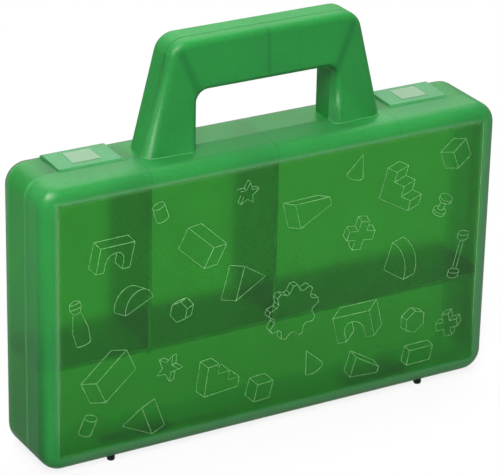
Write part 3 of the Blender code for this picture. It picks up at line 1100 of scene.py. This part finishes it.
studio = {
    "floorRadius": 6,
    "floorSides": 64,
    "floorRoughness": 0.9,
    "floorGrey": (0.4, 0.97),
    "glow": 1.0,
    "floorClear": (0.86, 0.99),
    "shadowReach": (0.01, 0.08),
    "floorSheen": (0.9, 0.15),
    "sheenAlong": (-0.25, 0.1),
    "leftSheen": 0.1,
    "sheenAcross": (-0.18, -0.12),
    "world": 0.2,
    "worldSheen": 0.5,
    "shadeReach": (0.01, 0.13),
    "shadeDepth": 0.77,
    "aim": (0, 0, 0.1),
    # name, position, size and watts
    "lights": (
        ("topSoftbox", (0.3, 0.55, 1.75), (1.4, 0.6), 19),
        ("frontSoftbox", (-0.75, -0.95, 1.7), (0.6, 0.6), 22),
        ("keyLight", (-0.66, -0.92, 1.05), (0.2, 0.2), 6.2),
    ),
    "sheens": (
        ("sheenSoftbox", (0.4, 1.3, 1.3), (1.8, 1.2), 13),
        ("glint", (-1.05, -0.40, 1.40), (0.5, 0.5), 50),
    ),
}


def seenShares(tree, sheen):
    # How much of the white shows: directly, through the plastic, and less of it in reflections
    path = addNode(tree, "ShaderNodeLightPath").outputs
    return path["Is Camera Ray"], path["Is Transmission Ray"], product(tree, path["Is Glossy Ray"], sheen)


def awayFromCase(tree, parts):
    # How far a point of the floor lies outside the space under the case, and 0 within it
    sideways = maths(tree, "SUBTRACT", maths(tree, "ABSOLUTE", parts["X"]), case["halfWidth"])
    lengthways = maths(tree, "SUBTRACT", maths(tree, "ABSOLUTE", parts["Y"]), case["back"])
    return maths(tree, "MAXIMUM", maths(tree, "MAXIMUM", sideways, lengthways), 0)


def floorSheen(tree, parts):
    # Reflections show the floor in front more than the floor behind and on the left: painted shade on the
    # floor behind and on the left, seen in reflections only
    front = mapRange(tree, parts["Y"], *studio["floorSheen"], *studio["sheenAlong"])
    return product(tree, front, mapRange(tree, parts["X"], studio["leftSheen"], 1, *studio["sheenAcross"]))


def makeFloor():
    bm = bmesh.new()
    bmesh.ops.create_circle(bm, cap_ends=True, radius=studio["floorRadius"], segments=studio["floorSides"])
    mesh = bpy.data.meshes.new("floor")
    bm.to_mesh(mesh)
    bm.free()
    floor = bpy.data.objects.new("floor", mesh)
    bpy.context.scene.collection.objects.link(floor)
    material, tree, shader = startMaterial("paleFloor")
    shader.inputs["Roughness"].default_value = studio["floorRoughness"]
    shader.inputs["Specular IOR Level"].default_value = 0.0
    glow = addNode(tree, "ShaderNodeEmission", {"Color": (1, 1, 1, 1)})
    mix = addNode(tree, "ShaderNodeMixShader")
    # What shows through the plastic is painted darker close to the case: a painted shadow where its shadow
    # lies
    parts = placeParts(tree)
    away = awayFromCase(tree, parts)
    lit = mapRange(tree, away, studio["shadeDepth"], 1, *studio["shadeReach"])
    direct, through, reflected = seenShares(tree, floorSheen(tree, parts))
    unlit = product(tree, through, maths(tree, "SUBTRACT", 1, lit))
    tree.links.new(maths(tree, "SUBTRACT", studio["glow"], unlit), glow.inputs["Strength"])
    tree.links.new(maths(tree, "MAXIMUM", through, reflected), mix.inputs["Fac"])
    tree.links.new(shader.outputs["BSDF"], mix.inputs[1])
    tree.links.new(glow.outputs["Emission"], mix.inputs[2])
    # Seen directly it keeps a light shadow near the case, and further out it is clear against the
    # white, so that the open lid shows below it
    tree.links.new(mapRange(tree, direct, *studio["floorGrey"]), shader.inputs["Base Color"])
    clearShare = mapRange(tree, away, *studio["floorClear"], *studio["shadowReach"])
    sheet = addNode(tree, "ShaderNodeMixShader")
    tree.links.new(product(tree, direct, clearShare), sheet.inputs["Fac"])
    tree.links.new(mix.outputs["Shader"], sheet.inputs[1])
    tree.links.new(addNode(tree, "ShaderNodeBsdfTransparent").outputs["BSDF"], sheet.inputs[2])
    tree.links.new(sheet.outputs["Shader"], tree.nodes["Material Output"].inputs["Surface"])
    mesh.materials.append(material)
    floor.visible_shadow = False  # the lamps reach the open lid below it


def makeWorld():
    world = bpy.data.worlds.new("studio")
    bpy.context.scene.world = world
    world.use_nodes = True
    tree = world.node_tree
    background = tree.nodes["Background"]
    level = addNode(tree, "ShaderNodeMapRange", {"To Min": studio["world"], "To Max": studio["glow"]})
    direct, through, reflected = seenShares(tree, studio["worldSheen"])
    share = maths(tree, "MAXIMUM", maths(tree, "MAXIMUM", direct, through), reflected)
    tree.links.new(share, level.inputs["Value"])
    background.inputs["Color"].default_value = (1, 1, 1, 1)
    tree.links.new(level.outputs["Result"], background.inputs["Strength"])


def makeLight(name, position, size, power):
    data = bpy.data.lights.new(name, "AREA")
    data.shape = "RECTANGLE"
    data.size, data.size_y = size
    data.energy = power
    light = bpy.data.objects.new(name, data)
    light.location = position
    toward = Vector(studio["aim"]) - Vector(position)
    light.rotation_euler = toward.to_track_quat("-Z", "Y").to_euler()
    bpy.context.scene.collection.objects.link(light)
    return light


makeCamera(photo)
makeFloor()
makeWorld()
for name, position, size, power in studio["lights"]:
    makeLight(name, position, size, power)
for name, position, size, power in studio["sheens"]:
    light = makeLight(name, position, size, power)
    light.visible_diffuse = False  # these only make highlights
    light.visible_transmission = False
report("stage, lights and camera")

bpy.context.scene.view_settings.view_transform = "Standard"
